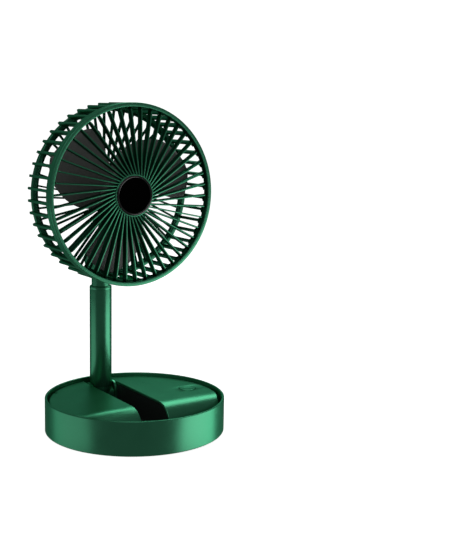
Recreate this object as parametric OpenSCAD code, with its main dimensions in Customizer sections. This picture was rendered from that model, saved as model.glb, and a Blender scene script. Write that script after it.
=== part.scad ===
// Foldable telescopic desk fan. The base is a round tub whose bottom centre is the origin, +Z is up and
// the fan blows towards -Y. The pole folds forward into a channel between two decks, while the head
// turns over and lands on the rim of the tub, front grille up.

/* [Base] */
// Outside diameter of the base tub
base_d = 155; // [130:1:190]
// Height of the tub's rim above the table
base_h = 30; // [29:0.5:40]
// Thickness of the tub's side wall
rim_t = 2; // [1.5:0.1:3]
// Thickness of the tub's floor
floor_t = 2.2; // [2:0.1:3]
// Depth of the decks below the rim
deck_drop = 3; // [2:0.1:5]
// Thickness of the deck covers
deck_t = 2; // [1.5:0.1:2.5]
// Open groove between the decks and the tub's wall
deck_groove = 1.8; // [1:0.1:3]
// Where the decks' flat tops end, in front of the middle
nose_y = 18; // [5:0.5:25]
// Radius of the decks' rounded noses
nose_r = 19; // [14:0.5:20]
// Clear width of the channel that the pole folds into
channel_w = 26; // [25.6:0.1:32]
// Thickness of the channel's black liner
liner_t = 1.2; // [0.8:0.1:1.6]
// Height of the rubber feet below the tub's floor
foot_h = 0.8; // [0.5:0.1:2]

/* [Controls and power] */
// Diameter of the power button
button_d = 14.6; // [10:0.1:18]
// Distance of the button from the channel's middle
button_x = 56.3; // [40:0.1:58]
// Travel of the power button
button_travel = 1; // [0.6:0.1:1.5]
// Diameter of a battery cell
cell_d = 18.4; // [14:0.1:18.6]
// Length of a battery cell
cell_len = 65; // [40:1:68]
// Width of the charging socket
socket_w = 9; // [8:0.1:10]
// Height of the charging socket
socket_h = 3.2; // [2.8:0.1:4]

/* [Pole] */
// Distance from the rim's outside to the pole's middle
pole_inset = 13.5; // [12.5:0.1:20]
// Height of the pole's pivot above the table
pivot_z = 14; // [13.8:0.1:15]
// Outside diameter of the outer tube
outer_d = 20; // [18:0.1:20.2]
// Wall of the outer tube
outer_wall = 1.3; // [1:0.1:1.8]
// Wall of the inner tube
inner_wall = 1; // [0.8:0.1:1.5]
// Radial step between the inner tube and the outer tube's bore
tube_step = 0.5; // [0.4:0.05:1]
// Diameter of both hinge pins
pin_d = 5; // [4:0.1:6]
// Slide of the inner tube
stroke = 65; // [30:1:65]
// Stretch of inner tube left showing when the pole is closed
tube_show = 15.7; // [12:0.1:40]

/* [Head] */
// Outside diameter of the head
head_d = 155.6; // [140:0.5:190]
// Depth of the head from the front ring to the slats' tips
head_depth = 45.2; // [44:0.1:56]
// Height of the head's middle above its hinge
hinge_rise = 62.7; // [56:0.1:80]
// Gap between the folded head and the tub's rim
rest_gap = 0.8; // [0.5:0.1:2]
// Number of fins, slats and rear spokes
fin_n = 46; // [24:1:48]
// Radial width of the front ring
ring_w = 3.4; // [3:0.1:8]
// Depth of the front ring
ring_depth = 5; // [4:0.1:8]
// Thickness of a front fin
fin_t = 1.3; // [1:0.1:1.8]
// Depth of a front fin
fin_depth = 6.5; // [4:0.1:8]
// Distance at which the fins' lines pass the fan's axis
fin_skew = 7.1; // [0:0.1:9]
// Depth of the plain band behind the front ring
band_depth = 3; // [2:0.1:8]
// Width of a side slat
slat_w = 2.3; // [1.8:0.1:3]
// Radial depth of a side slat
slat_h = 3.4; // [2.5:0.1:5]
// Length of the slats' tips behind the rear ring
slat_tip = 1.7; // [1:0.1:4]

/* [Impeller and motor] */
// Number of blades
blade_n = 3; // [2:1:5]
// Radius of the blades' tips
blade_r = 68; // [50:0.5:69]
// Thickness of a blade
blade_t = 1.6; // [1:0.1:2.5]
// Depth that a blade sweeps along the axis
blade_rise = 20; // [8:0.5:21]
// Outside diameter of the impeller's hub
hub_d = 36; // [34:0.5:44]
// Diameter of the motor's shaft
shaft_d = 3; // [2:0.1:4]
// Outside diameter of the stator
stator_d = 23; // [18:0.1:24]

/* [Hidden] */
$fn = 96;
eps = 0.01;
fit_gap = 0.06;     // radial running clearance of pins, shafts and slides
seat_gap = 0.02;    // radial clearance of pieces pressed together
move_gap = 0.4;     // gap between pieces that pass each other
face_gap = 0.1;     // gap between hinge faces

base_r = base_d / 2;
tub_r = base_r - rim_t;
deck_r = tub_r - deck_groove;
floor_z = foot_h + floor_t;
deck_z = base_h - deck_drop;
channel_r = channel_w / 2;
liner_floor = 0.6;
liner_r = channel_r + liner_t;

pole_y = base_r - pole_inset;
outer_r = outer_d / 2;
outer_bore = outer_r - outer_wall;
inner_r = outer_bore - tube_step;
inner_bore = inner_r - inner_wall;
pole_len = pole_y + hinge_rise;
hinge_z = pivot_z + pole_len;
foot_eye_r = outer_r - 1;
top_eye_r = inner_r - 0.2;
tube_low = pivot_z + outer_r;
tube_high = hinge_z - top_eye_r - tube_show;
collar_h = 3;
collar_in = 6;
bush_h = 9;
stop_gap = 1;
inner_low = tube_high - collar_h - collar_in - bush_h - stroke - stop_gap;
inner_high = hinge_z - top_eye_r;
ear_t = 2.3;
ear_in = channel_r - 0.2 - ear_t;
ear_r = 9;
ear_z = deck_z + 0.5 - ear_r;
washer_t = 0.8;
foot_half = ear_in - washer_t - 2 * face_gap;
fork_out = channel_r - 0.6;
fork_in = inner_r + 0.3;
top_half = fork_in - washer_t - 2 * face_gap;

head_r = head_d / 2;
head_z = hinge_z + hinge_rise;
back_y = pole_y - (base_h + rest_gap - pivot_z);
front_y = back_y - head_depth;
plate_back = -head_depth;
spoke_depth = 3.5;
rear_z = -head_depth + slat_tip;
rear_ring_w = 4;
slat_r = head_r - 0.5;
rear_ring_r = slat_r - 1.7;
rear_rim_w = 1.6;    // the rear grille's own rim, pressed into the cage's ring
rear_rim_r = rear_ring_r - rear_ring_w - seat_gap;
band_t = 2.5;
band_low = -ring_depth - band_depth;
slat_root = 0.5;
hub_plate_r = 21;
grille_hub_r = 18;
bezel_r = 17;
bezel_in = 15;
arm_t = 4.6;
arm_r = 8;
cap_t = 2.8;
cap_r = 20;

motor_low = plate_back + 4.2;      // front face of the rear hub plate
base_flange_t = 2;
bearing_d = 6;
bearing_h = 2.5;
tube_wall = 1.2;
core_low = motor_low + 7;
core_h = 9;
air_gap = 0.4;
magnet_t = 1.2;
cup_t = 0.8;
magnet_in = stator_d / 2 + air_gap;
cup_in = magnet_in + magnet_t;
cup_out = cup_in + cup_t;
cup_low = core_low - 2;
cup_high = core_low + core_h + 3;
hub_r = max(hub_d / 2, cup_out + 2);
hub_low = cup_low;
hub_high = cup_high + 2.5;
shaft_low = motor_low + 1;
shaft_high = hub_high + 3.5;
mast_high = cup_high - cup_t - 1;

screw_r = 1.1;
screw_head_r = 2.4;
screw_head_h = 1.2;
boss_r = 3;
button_r = button_d / 2;
button_y = 4.3;
button_proud = 0.3;
button_hole = button_r + 0.3;
board_z = deck_z - deck_t - 8.5;
board_t = 1.6;
cell_r = cell_d / 2;
cell_z = floor_z + 1.2 + cell_r;
cell_x = -(liner_r + 1.5 + cell_r);
cell_pitch = cell_d + 0.6;
cell_y0 = -nose_y - 4;
socket_angle = 64;
socket_z = floor_z + 7;
socket_len = 7.3;
charge_w = 14;
left_screws = [[-24, 60], [-62, 24], [-60, -10], [-24, -nose_y - 11]];
right_screws = [[18.5, 62.5], [62, 24], [60, -10], [24, -nose_y - 11]];
pad_r = 6;
pad_seat = 0.6;
pad_ring = base_r - 14;

green = "#2e7355";
black = "#101211";
smoke = "#3c3d3b";
steel = "#b9bcc0";

// ---- shared shapes ----

// A cylinder along X, centred on x = 0
module axle(r, half, y, z) {
    translate([-half, y, z]) rotate([0, 90, 0]) cylinder(r = r, h = 2 * half);
}

// A ring round the local Z axis
module ring(r_out, r_in, low, high) {
    difference() {
        translate([0, 0, low]) cylinder(r = r_out, h = high - low);
        translate([0, 0, low - 1]) cylinder(r = r_in, h = high - low + 2);
    }
}

// Stretches an outline drawn in Y and Z along X, from x0 to x1
module along_x(x0, x1) {
    translate([x0, 0, 0]) rotate([90, 0, 90]) linear_extrude(x1 - x0) children();
}

// The head's own frame: +Z out of the front grille, +Y up, zero on the front ring's face
module in_head() {
    translate([0, front_y, head_z]) rotate([90, 0, 0]) children();
}

// Side view of a deck, drawn with the skin g inside the outer surface
module deck_outline(g) {
    low = floor_z - (g > 0 ? 1 : 0);
    top = deck_z - g;
    union() {
        translate([-nose_y, low]) square([nose_y + base_r, top - low]);
        intersection() {
            translate([-nose_y, deck_z - nose_r]) circle(r = nose_r - g);
            translate([-nose_y - nose_r, deck_z - nose_r]) square(nose_r);
        }
        translate([-nose_y - nose_r + g, low]) square([nose_r, deck_z - nose_r - low]);
    }
}

// Solid body of the right-hand deck, with the skin g inside the outer surface
module deck_body(g) {
    intersection() {
        along_x(channel_r, base_r) deck_outline(g);
        cylinder(r = deck_r - g, h = base_h);
    }
}

// Right-hand deck cover before its own holes: a shell that is open below and towards the channel
module deck_shell(screws) {
    difference() {
        deck_body(0);
        difference() {
            deck_body(deck_t);
            for (p = screws) translate([p[0], p[1], 0]) cylinder(r = boss_r, h = base_h);
        }
        translate([channel_r - 1, -base_r, 0]) cube([1 + liner_t + seat_gap, base_d, deck_z - deck_t]);
        for (p = screws)
            translate([p[0], p[1], floor_z - 1]) cylinder(r = screw_r + seat_gap, h = 11);
    }
}

// ---- base ----

module base_shell() {
    color(green) difference() {
        translate([0, 0, foot_h]) cylinder(r = base_r, h = base_h - foot_h);
        translate([0, 0, floor_z]) cylinder(r = tub_r, h = base_h);
        for (p = concat(left_screws, right_screws)) translate([p[0], p[1], 0]) {
            cylinder(r = screw_r + 0.2, h = floor_z + 1);
            cylinder(r = screw_head_r + 0.2, h = foot_h + screw_head_h + 0.1);
        }
        for (a = [45:90:315]) rotate(a) translate([pad_ring, 0, 0])
            cylinder(r = pad_r + seat_gap, h = foot_h + pad_seat);
        rotate(socket_angle) socket_outline(base_r - 8, 12, 0.3);
    }
}

module left_deck() {
    color(green) difference() {
        mirror([1, 0, 0]) deck_shell([for (p = left_screws) [-p[0], p[1]]]);
        rotate(136) translate([deck_r - 3, -1.5, deck_z - deck_t - 1]) cube([6, 3, deck_t + 2]);
    }
}

module right_deck() {
    color(green) difference() {
        deck_shell(right_screws);
        translate([button_x, button_y, deck_z - deck_t - 1]) cylinder(r = button_hole, h = deck_t + 2);
        rotate(socket_angle) translate([deck_r - deck_t - 2, -charge_w / 2 - 0.3, 0])
            cube([deck_t + 4, charge_w + 0.6, socket_z + socket_h / 2 + 0.5]);
    }
}

module channel_tray() {
    color(black) intersection() {
        cylinder(r = deck_r - deck_t, h = base_h);
        union() {
            along_x(-liner_r, -channel_r) deck_outline(deck_t + seat_gap);
            along_x(channel_r, liner_r) deck_outline(deck_t + seat_gap);
            translate([-channel_r - eps, -nose_y - nose_r + deck_t, floor_z])
                cube([channel_w + 2 * eps, nose_y + nose_r + base_r, liner_floor]);
        }
        translate([-base_r, -base_r, floor_z]) cube([base_d, base_d, base_h]);
    }
}

module hinge_bracket() {
    plate_z = floor_z + liner_floor;
    color(green) difference() {
        union() {
            for (x = [-ear_in - ear_t, ear_in]) along_x(x, x + ear_t) {
                translate([pole_y, ear_z]) circle(r = ear_r);
                translate([pole_y - ear_r, plate_z]) square([2 * ear_r, ear_z - plate_z]);
            }
            translate([-ear_in - eps, pole_y - ear_r, plate_z])
                cube([2 * ear_in + 2 * eps, 2 * ear_r, pivot_z - foot_eye_r - move_gap - plate_z]);
        }
        axle(pin_d / 2 + seat_gap, base_r, pole_y, pivot_z);
        difference() {
            translate([0, 0, -1]) cylinder(r = 2 * base_r, h = base_h + 2);
            translate([0, 0, -2]) cylinder(r = tub_r - 0.1, h = base_h + 4);
        }
    }
}

module base_pin() {
    color(steel) axle(pin_d / 2, ear_in + ear_t, pole_y, pivot_z);
}

module pivot_washers() {
    color(black) for (s = [-1, 1]) difference() {
        axle(7, ear_in - face_gap, pole_y, pivot_z);
        axle(pin_d / 2 + fit_gap, base_r, pole_y, pivot_z);
        translate([s > 0 ? -base_r : -ear_in + face_gap + washer_t, 0, 0])
            cube([s > 0 ? base_r + ear_in - face_gap - washer_t : base_d, base_d, base_d]);
    }
}

module power_button() {
    skirt_z = deck_z - deck_t - 0.4;
    color(green) translate([button_x, button_y, 0]) union() {
        difference() {
            translate([0, 0, skirt_z - 0.6]) cylinder(r = button_r, h = deck_z + button_proud - skirt_z + 0.6);
            translate([0, 0, deck_z + button_proud + 28.6]) sphere(r = 29.2, $fn = 160);
        }
        translate([0, 0, skirt_z - 1.2]) cylinder(r = button_hole + 1, h = 1.2);
        translate([0, 0, board_z + board_t + 3.4 + button_travel + 0.2])
            cylinder(r = 2, h = skirt_z - board_z - board_t - 3.4 - button_travel - 0.2);
    }
}

// A round wire wound into a spring between two heights
module coil(r, wire_r, low, high, turns) {
    steps = 20 * turns;
    sides = 6;
    rise = high - low;
    pts = [for (i = [0:steps], j = [0:sides - 1])
        let (a = 360 * turns * i / steps, b = 360 * j / sides, q = r + wire_r * cos(b))
        [q * cos(a), q * sin(a), low + rise * i / steps + wire_r * sin(b)]];
    skin = [for (i = [0:steps - 1], j = [0:sides - 1])
        [i * sides + j, (i + 1) * sides + j, (i + 1) * sides + (j + 1) % sides, i * sides + (j + 1) % sides]];
    polyhedron(points = pts, faces = concat(
        [[for (j = [0:sides - 1]) j]], skin, [[for (j = [sides - 1:-1:0]) steps * sides + j]]));
}

module button_spring() {
    wire_r = 0.25;
    low = board_z + board_t + wire_r + 0.05;
    high = deck_z - deck_t - 1.6 - wire_r - 0.05;
    color(steel) translate([button_x, button_y, 0]) coil(6.6, wire_r, low, high, 4);
}

module push_switch() {
    z = board_z + board_t;
    color(black) translate([button_x, button_y, z]) union() {
        translate([-3, -3, 0]) cube([6, 6, 2.4]);
        cylinder(r = 1.7, h = 3.4);
    }
}

module control_board() {
    posts = [[liner_r + 6, nose_y + 30], [liner_r + 6, -10], [button_x - 4, nose_y + 12]];
    color("#1d5c38") difference() {
        union() {
            translate([liner_r + 2, -16, board_z]) cube([button_x + 5 - liner_r - 2, 46, board_t]);
            translate([liner_r + 8, 4, board_z + board_t]) cube([8, 8, 1.2]);
            translate([liner_r + 20, 16, board_z + board_t]) cube([5, 7, 2]);
            translate([liner_r + 8, 20, board_z + board_t]) cylinder(r = 3, h = 5);
        }
        for (p = posts) translate([p[0], p[1], 0]) cylinder(r = 1.2, h = base_h);
        for (p = right_screws) translate([p[0], p[1], 0]) cylinder(r = boss_r + 0.3, h = base_h);
    }
}

module battery_cells() {
    color("#3b6fa8") for (i = [0, 1]) translate([cell_x - i * cell_pitch, cell_y0, cell_z])
        rotate([-90, 0, 0]) union() {
            cylinder(r = cell_r, h = cell_len - 1);
            cylinder(r = 3, h = cell_len);
        }
}

module battery_holder() {
    side = 1;
    wide = cell_pitch + cell_d + 2 * side;
    long = cell_len + 2 * side + 0.4;
    color(black) difference() {
        translate([cell_x + cell_r + side - wide, cell_y0 - side - 0.2, floor_z])
            cube([wide, long, cell_r + 1]);
        for (i = [0, 1]) translate([cell_x - i * cell_pitch, cell_y0 - 0.2, cell_z])
            rotate([-90, 0, 0]) cylinder(r = cell_r + seat_gap, h = cell_len + 0.4);
        for (p = left_screws) translate([p[0], p[1], 0]) cylinder(r = boss_r + 0.3, h = base_h);
    }
}

// Rounded outline of the charging socket, standing along local X from x0, grown by g
module socket_outline(x0, len, g) {
    r = socket_h / 2;
    side = socket_w / 2 - r;
    translate([x0, 0, socket_z]) rotate([90, 0, 90]) linear_extrude(len) union() {
        translate([-side, -r - g]) square([2 * side, 2 * (r + g)]);
        for (s = [-1, 1]) translate([s * side, 0]) circle(r = r + g, $fn = 48);
    }
}

module usb_socket() {
    start = base_r - 0.6 - socket_len;
    color(steel) rotate(socket_angle) union() {
        difference() {
            socket_outline(start, socket_len, 0);
            socket_outline(start + 0.8, socket_len, -0.35);
        }
        translate([start + 0.5, -socket_w / 2 + 1.6, socket_z - 0.35])
            cube([socket_len - 1.7, socket_w - 3.2, 0.7]);
    }
}

module charge_board() {
    start = base_r - 0.6 - socket_len;
    low = socket_z - socket_h / 2 - 1.2;
    color("#1d5c38") rotate(socket_angle) difference() {
        translate([start - 8, -charge_w / 2, low]) cube([12, charge_w, 1.2]);
        translate([start - 5, 0, 0]) cylinder(r = 1.1, h = base_h);
    }
}

module rubber_feet() {
    color(black) for (a = [45:90:315]) rotate(a) translate([pad_ring, 0, 0])
        cylinder(r = pad_r, h = foot_h + pad_seat);
}

module deck_screws() {
    color(steel) for (p = concat(left_screws, right_screws)) translate([p[0], p[1], 0]) difference() {
        union() {
            translate([0, 0, foot_h + 0.1]) cylinder(r = screw_head_r, h = screw_head_h);
            translate([0, 0, foot_h + 0.2]) cylinder(r = screw_r, h = floor_t + 8);
        }
        translate([-1.6, -0.3, 0]) cube([3.2, 0.6, foot_h + 0.7]);
        translate([-0.3, -1.6, 0]) cube([0.6, 3.2, foot_h + 0.7]);
    }
}

// ---- pole ----

module foot_knuckle() {
    color(green) difference() {
        union() {
            axle(foot_eye_r, foot_half, pole_y, pivot_z);
            translate([0, pole_y, pivot_z + foot_eye_r - 4]) cylinder(r = outer_r - 0.6, h = 5);
            translate([0, pole_y, pivot_z]) cylinder(r = outer_bore - seat_gap, h = outer_r + 5);
        }
        axle(pin_d / 2 + fit_gap, base_r, pole_y, pivot_z);
        translate([0, pole_y, pivot_z + 5]) cylinder(r = 2.2, h = outer_r + 6);
    }
}

module outer_tube() {
    color(green) translate([0, pole_y, 0])
        ring(outer_r, outer_bore, tube_low, tube_high - collar_h);
}

module tube_collar() {
    bore = inner_r + fit_gap;
    neck = outer_bore - seat_gap;
    low = tube_high - collar_h;
    color(green) translate([0, pole_y, 0]) rotate_extrude() polygon([
        [bore, low - collar_in], [neck, low - collar_in], [neck, low], [outer_r, low],
        [outer_r, tube_high - 0.8], [outer_r - 0.8, tube_high], [bore, tube_high]]);
}

module inner_tube() {
    color(green) translate([0, pole_y, 0]) ring(inner_r, inner_bore, inner_low, inner_high);
}

module slide_bush() {
    lip = 1.2;
    color(black) translate([0, pole_y, 0]) rotate_extrude() polygon([
        [inner_bore, inner_low - lip], [outer_bore - fit_gap, inner_low - lip],
        [outer_bore - fit_gap, inner_low + bush_h], [inner_r + seat_gap, inner_low + bush_h],
        [inner_r + seat_gap, inner_low], [inner_bore, inner_low]]);
}

module top_knuckle() {
    color(green) difference() {
        union() {
            axle(top_eye_r, top_half, pole_y, hinge_z);
            translate([0, pole_y, inner_high]) cylinder(r = top_half - 0.1, h = 3);
            translate([0, pole_y, inner_high - 14]) cylinder(r = inner_bore - seat_gap, h = 17);
        }
        axle(pin_d / 2 + fit_gap, base_r, pole_y, hinge_z);
        translate([0, pole_y, inner_high - 15]) cylinder(r = 2.2, h = 18);
    }
}

// ---- head hinge ----

module head_pin() {
    color(steel) axle(pin_d / 2, fork_out - 0.3, pole_y, hinge_z);
}

module hinge_discs() {
    color(black) difference() {
        union() for (s = [-1, 1]) translate([s * (top_half + face_gap + washer_t / 2), 0, 0])
            axle(6.5, washer_t / 2, pole_y, hinge_z);
        axle(pin_d / 2 + seat_gap, base_r, pole_y, hinge_z);
    }
}

// ---- head ----

module rear_bracket() {
    low = hinge_z - top_eye_r;
    color(green) difference() {
        union() {
            for (x = [-fork_out, fork_in]) {
                axis_len = fork_out - fork_in;
                translate([x, pole_y, hinge_z]) rotate([0, 90, 0]) cylinder(r = top_eye_r, h = axis_len);
                translate([x, back_y, low]) cube([axis_len, pole_y - back_y, 2 * top_eye_r]);
            }
            translate([0, back_y + arm_t, 0]) rotate([90, 0, 0]) linear_extrude(arm_t) union() {
                polygon([[-fork_out, low], [fork_out, low], [fork_out, low + 2 * top_eye_r],
                    [arm_r, head_z - 25], [arm_r, head_z], [-arm_r, head_z], [-arm_r, head_z - 25],
                    [-fork_out, low + 2 * top_eye_r]]);
                translate([0, head_z]) circle(r = arm_r);
            }
            translate([0, back_y + cap_t, head_z]) rotate([90, 0, 0]) cylinder(r = cap_r, h = cap_t);
        }
        axle(pin_d / 2 + fit_gap, base_r, pole_y, hinge_z);
        for (a = [30, 150, 270]) bracket_screw_place(a) cylinder(r = screw_r + 0.2, h = 20, center = true);
    }
}

module bracket_screw_place(a) {
    translate([0, back_y, head_z]) rotate([-90, 0, 0]) rotate(a) translate([15, 0, 0]) children();
}

module bracket_screws() {
    color(steel) for (a = [30, 150, 270]) bracket_screw_place(a) {
        top = cap_t;
        difference() {
            union() {
                translate([0, 0, top]) cylinder(r = 2, h = 0.4);
                translate([0, 0, -3.8]) cylinder(r = screw_r, h = 3.9 + top);
            }
            translate([-1.4, -0.25, top + 0.1]) cube([2.8, 0.5, 1]);
            translate([-0.25, -1.4, top + 0.1]) cube([0.5, 2.8, 1]);
        }
    }
}

// Straight bars laid past the axis at a distance, from one radius to another
module skewed_bars(count, skew, r0, r1, thick, low, high) {
    x0 = sqrt(r0 * r0 - skew * skew);
    x1 = sqrt(r1 * r1 - skew * skew);
    for (i = [0:count - 1]) rotate(i * 360 / count)
        translate([skew - thick / 2, x0, low]) cube([thick, x1 - x0, high - low]);
}

module rear_cage() {
    color(green) in_head() {
        ring(head_r, head_r - band_t, band_low, -ring_depth);
        for (i = [0:fin_n - 1]) rotate(i * 360 / fin_n)
            translate([-slat_w / 2, slat_r - slat_h, -head_depth])
                cube([slat_w, slat_h, head_depth + band_low + slat_root]);
        ring(rear_ring_r, rear_ring_r - rear_ring_w, rear_z, rear_z + spoke_depth + 0.5);
    }
}

module rear_grille() {
    color(green) in_head() difference() {
        union() {
            ring(rear_rim_r, rear_rim_r - rear_rim_w, rear_z, rear_z + spoke_depth);
            skewed_bars(fin_n, -fin_skew, hub_plate_r - 1, rear_rim_r - rear_rim_w / 2,
                fin_t + 0.2, rear_z, rear_z + spoke_depth);
            translate([0, 0, plate_back]) cylinder(r = hub_plate_r, h = motor_low - plate_back);
        }
        for (a = [-30, 210, 90]) rotate(a) translate([15, 0, plate_back - 1])
            cylinder(r = screw_r + seat_gap, h = 5);
    }
}

module front_grille() {
    color(green) in_head() difference() {
        union() {
            ring(head_r, head_r - ring_w, -ring_depth, 0);
            ring(head_r - band_t - 0.2, head_r - ring_w, -ring_depth - 2, -ring_depth);
            skewed_bars(fin_n, fin_skew, grille_hub_r - 0.5, head_r - ring_w + 0.8, fin_t,
                -0.6 - fin_depth, -0.6);
            ring(grille_hub_r, bezel_r, -ring_depth - 2, 0);
            translate([0, 0, -ring_depth - 2]) cylinder(r = bezel_r + eps, h = 2);
        }
        translate([0, 0, -20]) cylinder(r = 2, h = 20);
    }
}

module hub_bezel() {
    color(black) in_head() rotate_extrude() polygon([
        [bezel_in, -4.9], [bezel_r - seat_gap, -4.9], [bezel_r - seat_gap, 0.2],
        [bezel_r - 0.8, 0.8], [bezel_in + 0.6, 0.8], [bezel_in, 0.2]]);
}

module hub_cap() {
    color(black) in_head() difference() {
        translate([0, 0, -4.9]) cylinder(r = bezel_in - seat_gap, h = 5);
        translate([0, 0, -6]) cylinder(r = bezel_in - 1.5, h = 4.5);
    }
}

module motor_base() {
    tube_out = bearing_d / 2 + tube_wall;
    color(black) in_head() difference() {
        union() {
            translate([0, 0, motor_low]) cylinder(r = 18, h = base_flange_t);
            translate([0, 0, motor_low]) cylinder(r = tube_out, h = mast_high - motor_low);
        }
        translate([0, 0, motor_low + 1]) cylinder(r = bearing_d / 2 - 0.4, h = base_h);
        translate([0, 0, motor_low + 1]) cylinder(r = bearing_d / 2, h = bearing_h + 0.5);
        translate([0, 0, mast_high - bearing_h]) cylinder(r = bearing_d / 2, h = base_h);
    }
}

module motor_board() {
    color("#1d5c38") in_head()
        ring(15, bearing_d / 2 + tube_wall + 0.2, motor_low + base_flange_t + 0.4, motor_low + base_flange_t + 1.4);
}

module stator_core() {
    teeth = 9;
    hub = 6.4;
    in_r = bearing_d / 2 + tube_wall;
    color("#8d8f92") in_head() translate([0, 0, core_low]) linear_extrude(core_h) difference() {
        union() {
            circle(r = hub);
            for (i = [0:teeth - 1]) rotate(i * 360 / teeth) {
                translate([0, -0.8]) square([stator_d / 2 - 0.7, 1.6]);
                intersection() {
                    difference() {
                        circle(r = stator_d / 2);
                        circle(r = stator_d / 2 - 1.2);
                    }
                    translate([0, -2.9]) square([stator_d, 5.8]);
                }
            }
        }
        circle(r = in_r + seat_gap);
    }
}

module stator_coils() {
    teeth = 9;
    hub = 6.4;
    run = stator_d / 2 - 1.4 - hub - 0.3;
    color("#b5713a") in_head() for (i = [0:teeth - 1]) rotate(i * 360 / teeth)
        difference() {
            translate([hub + 0.3, -1.6, core_low - 0.8]) cube([run - 0.2, 3.2, core_h + 1.6]);
            translate([hub, -0.8 - seat_gap, core_low - seat_gap])
                cube([run + 1, 1.6 + 2 * seat_gap, core_h + 2 * seat_gap]);
        }
}

module ball_bearings() {
    color(steel) in_head() for (z = [motor_low + 1.5, mast_high - bearing_h])
        ring(bearing_d / 2 - 0.01, shaft_d / 2 + fit_gap, z, z + bearing_h);
}

module rotor_cup() {
    color(steel) in_head() difference() {
        translate([0, 0, cup_low]) cylinder(r = cup_out, h = cup_high - cup_low);
        translate([0, 0, cup_low - 1]) cylinder(r = cup_in, h = cup_high - cup_low - cup_t + 1);
        cylinder(r = shaft_d / 2, h = base_d, center = true);
    }
}

module rotor_magnets() {
    color("#3a3d40") in_head() ring(cup_in - eps, magnet_in, core_low - 0.5, core_low + core_h + 0.5);
}

module motor_shaft() {
    color(steel) in_head() translate([0, 0, shaft_low]) cylinder(r = shaft_d / 2, h = shaft_high - shaft_low);
}

// ---- impeller ----

// Leading and trailing angles and the plate's height along a blade, by radius share s from 0 to 1
function blade_mid(s) = 14 * s * s - 6 * s;
function blade_half(s) = 27 + 17 * sin(180 * min(1, s * 0.92 + 0.06)) - 40 * pow(max(0, s - 0.62) / 0.38, 3) * 0.62;
function blade_z(u, s) = -blade_rise / 2 * u * (1 - 0.35 * s) + 1.2 * (1 - u * u);

// One blade: a curved plate swept over a grid of radius and angle
module blade() {
    rows = 14;
    cols = 12;
    mid_z = (hub_low + hub_high) / 2 - 0.5;
    r_root = hub_r - 0.8;
    function at(i, j, side) = let (s = i / rows, u = 2 * j / cols - 1,
            r = r_root + (blade_r - r_root) * s * (1 - 0.04 * u * u * s),
            a = blade_mid(s) + blade_half(s) * u)
        [r * cos(a), r * sin(a), mid_z + blade_z(u, s) + side * blade_t / 2];
    pts = concat([for (i = [0:rows], j = [0:cols]) at(i, j, 1)], [for (i = [0:rows], j = [0:cols]) at(i, j, -1)]);
    n = (rows + 1) * (cols + 1);
    w = cols + 1;
    top = [for (i = [0:rows - 1], j = [0:cols - 1])
        each [[i * w + j, i * w + j + 1, (i + 1) * w + j + 1], [i * w + j, (i + 1) * w + j + 1, (i + 1) * w + j]]];
    low = [for (f = top) [f[2] + n, f[1] + n, f[0] + n]];
    rim = concat([for (j = [0:cols - 1]) j], [for (i = [0:rows - 1]) i * w + cols],
        [for (j = [0:cols - 1]) rows * w + cols - j], [for (i = [0:rows - 1]) (rows - i) * w]);
    m = len(rim);
    wall = [for (k = [0:m - 1]) let (a = rim[k], b = rim[(k + 1) % m])
        each [[a, a + n, b + n], [a, b + n, b]]];
    polyhedron(points = pts, faces = concat(top, low, wall));
}

module impeller() {
    color(smoke) in_head() difference() {
        union() {
            difference() {
                translate([0, 0, hub_low]) cylinder(r = hub_r, h = hub_high - hub_low);
                translate([0, 0, hub_low - 1]) cylinder(r = cup_out + seat_gap, h = cup_high - hub_low + 1 + seat_gap);
            }
            for (i = [0:blade_n - 1]) rotate(i * 360 / blade_n + 20) difference() {
                blade();
                cylinder(r = hub_r - 0.4, h = 4 * head_depth, center = true);
            }
        }
        cylinder(r = shaft_d / 2, h = base_d, center = true);
    }
}

module impeller_cap() {
    color(black) in_head() difference() {
        translate([0, 0, hub_high]) cylinder(r = 3.6, h = shaft_high - hub_high + 0.6);
        translate([0, 0, hub_high - 1]) cylinder(r = shaft_d / 2, h = shaft_high - hub_high + 1);
    }
}

base_shell();
left_deck();
right_deck();
channel_tray();
hinge_bracket();
base_pin();
pivot_washers();
power_button();
button_spring();
push_switch();
control_board();
battery_cells();
battery_holder();
usb_socket();
charge_board();
rubber_feet();
deck_screws();
foot_knuckle();
outer_tube();
tube_collar();
inner_tube();
slide_bush();
top_knuckle();
head_pin();
hinge_discs();
rear_bracket();
bracket_screws();
rear_cage();
rear_grille();
front_grille();
hub_bezel();
hub_cap();
impeller();
impeller_cap();
motor_base();
motor_board();
stator_core();
stator_coils();
ball_bearings();
rotor_cup();
rotor_magnets();
motor_shaft();
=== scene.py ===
import math

import bmesh
import bpy
from mathutils import Matrix, Vector


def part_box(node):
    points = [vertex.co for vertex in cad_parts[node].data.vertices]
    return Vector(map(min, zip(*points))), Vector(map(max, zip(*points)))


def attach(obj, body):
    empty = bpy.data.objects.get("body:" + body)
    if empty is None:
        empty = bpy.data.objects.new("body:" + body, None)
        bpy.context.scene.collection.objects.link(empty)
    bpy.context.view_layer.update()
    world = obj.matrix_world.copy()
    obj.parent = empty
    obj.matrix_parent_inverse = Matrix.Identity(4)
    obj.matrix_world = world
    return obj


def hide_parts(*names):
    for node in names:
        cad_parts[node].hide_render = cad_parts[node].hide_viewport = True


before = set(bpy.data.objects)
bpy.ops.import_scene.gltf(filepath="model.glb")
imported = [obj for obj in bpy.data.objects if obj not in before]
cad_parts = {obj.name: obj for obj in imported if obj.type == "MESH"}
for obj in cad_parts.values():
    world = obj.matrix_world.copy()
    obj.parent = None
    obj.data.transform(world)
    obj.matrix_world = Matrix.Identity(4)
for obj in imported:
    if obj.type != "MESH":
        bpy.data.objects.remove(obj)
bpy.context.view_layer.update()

mm = 0.001
scene = bpy.context.scene


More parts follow.
